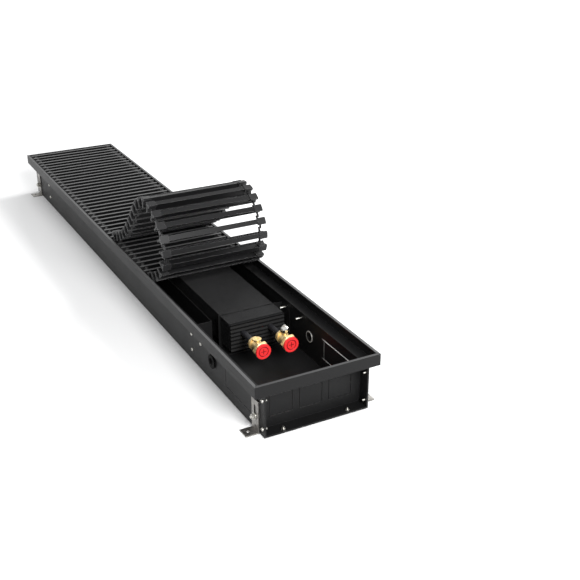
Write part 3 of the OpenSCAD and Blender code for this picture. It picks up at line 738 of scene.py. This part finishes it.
# %% Fin stack
def fin_stack(pitch=0.0025, thick=0.0003, lip=0.0011):
    low, high = box_of("fins")
    shape = Shape()
    count = int((high.y - low.y) / pitch)
    for k in range(count + 1):
        y = low.y + (high.y - low.y - thick) * k / count
        shape.box((low.x, y, low.z), (high.x, y + thick, high.z))
        if k < count:
            shape.box((low.x, y + thick, high.z - thick), (high.x, y + thick + lip, high.z))
    print("fins:", count + 1)
    return shape


piece("fin_stack", fin_stack(), "casing", fin_dip, ["fins"])

# %% [markdown]
# ## Union nuts
# A real nut has chamfered corners: each end of its bar stock was turned to a cone before it was
# bored. The corners of a plain hexagon would look cut from card. The union nuts also have a wide
# bore for the union of the house, and a narrow lip behind it that holds the nut on the tail of the
# valve. Their outline is a closed ring, so that the bore stays open.


# %% Union nuts
def nut_outline(flats, height, bore):
    corner, face = flats / math.sqrt(3), 0.485 * flats
    return [(bore, 0), (face, 0), (corner, 0.12 * height, flats),
            (corner, 0.88 * height, flats), (face, height)]


def union_nut(node, thread=0.013, tail=0.00955, lip=0.002):
    low, high = box_of(node)
    length, centre = high.y - low.y, (low + high) / 2
    outline = nut_outline(high.z - low.z, length, thread)
    outline += [(tail, length), (tail, length - lip), (thread, length - lip)]
    place = facing((centre.x, low.y, centre.z), (0, 1, 0), math.radians(30))
    return Shape().turned(outline, place, closed=True)


for side in ("supply", "return"):
    piece("chamfered_nut_" + side, union_nut("union_nut_" + side), "casing", brass,
          ["union_nut_" + side])

# %% [markdown]
# ## Where the small parts sit
# The construction model keeps all screws of a kind in one part, and the nuts and studs as well.
# Their places could be typed here, but then they would be wrong after the next change. So they are
# read from the part: vertices that edges join belong to one solid, and its box says where it is.


# %% Places of screws, nuts and studs
def solids_of(node):
    """The lowest and the highest corner of each separate solid of a part, in a fixed order."""
    work = bmesh.new()
    work.from_mesh(frame["nodes"][node].data)
    bmesh.ops.remove_doubles(work, verts=work.verts, dist=1e-6)
    left, boxes = set(work.verts), []
    while left:
        reached = [left.pop()]
        for vertex in reached:
            beside = {edge.other_vert(vertex) for edge in vertex.link_edges} & left
            left -= beside
            reached += beside
        places = list(zip(*(vertex.co for vertex in reached)))
        boxes.append((Vector(list(map(min, places))), Vector(list(map(max, places)))))
    work.free()
    return sorted(boxes, key=lambda corners: tuple(corners[0]))


def through_walls(node, spin=0.0):
    """For each solid: a frame at its inner end whose Z points outwards, and its length."""
    for low, high in solids_of(node):
        side = math.copysign(1, low.x)
        centre = (low + high) / 2
        inner = side * min(abs(low.x), abs(high.x))
        yield facing((inner, centre.y, centre.z), (side, 0, 0), spin), high.x - low.x


for node in ("foot_nuts", "foot_bolts", "panel_screws", "wall_screws"):
    print(node, len(solids_of(node)), "solids")

# %% [markdown]
# ## Nuts and studs of the feet
# Four short studs clamp the feet to the walls. Each has a flat head inside the wall, a plain shank
# through wall and bracket, and a rolled thread under its nut. A helix would need many more faces.
# The thread is a row of rings, a crest every millimetre, which at this size looks the same.


# %% Nuts and studs of the feet
def foot_nuts(flats=0.01, bore=0.00305):
    shape = Shape()
    for place, thick in through_walls("foot_nuts"):
        outline = nut_outline(flats, thick, bore) + [(bore, thick)]
        shape.turned(outline, place, closed=True)
    return shape


def stud_outline(length, head=0.004, head_thick=0.001, root=0.0026, crest=0.003, pitch=0.001,
                 plain=0.006):
    """From the face of the flat head to the end of the thread."""
    outline = [(0.0001, 0), (head - 0.0002, 0), (head, 0.0002), (head, head_thick),
               (crest, head_thick), (crest, plain)]
    for k in range(int((length - plain - 0.5 * pitch) / pitch)):
        start = plain + k * pitch
        outline += [(root, start + 0.5 * pitch), (crest, start + pitch)]
    return outline + [(root, length), (0.0001, length)]


def foot_studs():
    shape = Shape()
    for place, length in through_walls("foot_bolts"):
        shape.turned(stud_outline(length), place, steps=24)
    return shape


piece("chamfered_foot_nuts", foot_nuts(), "casing", zinc, ["foot_nuts"])
piece("threaded_foot_studs", foot_studs(), "casing", zinc, ["foot_bolts"])

# %% [markdown]
# ## Screws
# The screws through the walls have low domed heads with a square recess for the driver. A recess
# cut by a Boolean would leave long thin faces in the dome. Here the last rings of the outline are
# cut to a square instead. The short screws hold the end panels, and the longer ones the heat
# exchanger and the air guide.


# %% Screws through the walls
def screw_outline(length, thread=0.002, head=0.0036, dome=0.0024, drive=0.0021, deep=0.0013):
    """From the tip of the shank, over the dome, to the floor of the square recess."""
    seat = length - dome
    shank = [(0.0001, 0), (0.9 * thread, 0), (thread, 0.3 * thread), (thread, seat)]
    shoulder = [(0, 0.0017), (0.0003, 0.0009), (0.0009, 0.0003), (0.0017, 0)]
    cap = [(head, 0)] + [(head - inward, dome - down) for inward, down in shoulder]
    recess = [(0.0018, dome, drive), (0.0016, dome - deep, drive - 0.0003), (0.0001, dome - deep)]
    return shank + [(radius, seat + height, *flats) for radius, height, *flats in cap + recess]


def screws(node):
    shape = Shape()
    for place, length in through_walls(node, spin=math.radians(45)):
        shape.turned(screw_outline(length), place, sides=4)
    return shape


for node in ("panel_screws", "wall_screws"):
    piece(node + "_domed", screws(node), "casing", zinc, [node])

# %% [markdown]
# ## The air vent
# The vent is a nickel-plated knob, ground to flats so that fingers can hold it, with a round hole
# on top for its screw. Ten steps of the lathe give the flats, and they stay sharp because only
# edges under 20 degrees are shaded smooth.


# %% Faceted air vent
def faceted_vent(neck=0.005, hole=0.0024, hole_deep=0.005):
    low, high = box_of("air_vent")
    wide, tall = (high.x - low.x) / 2, high.z - low.z
    outline = [(0.0001, 0), (neck, 0), (neck, 0.0028), (0.8 * wide, 0.003), (wide, 0.28 * tall),
               (wide, 0.62 * tall), (0.86 * wide, 0.82 * tall), (0.52 * wide, 0.97 * tall),
               (hole + 0.0002, tall), (hole, tall - 0.0003), (hole, tall - hole_deep),
               (0.0001, tall - hole_deep)]
    centre = (low + high) / 2
    return Shape().turned(outline, Matrix.Translation((centre.x, centre.y, low.z)), steps=10)


piece("faceted_vent", faceted_vent(), "casing", nickel, ["air_vent"], sharp=20)

# %% [markdown] The faceted vent is the last piece.
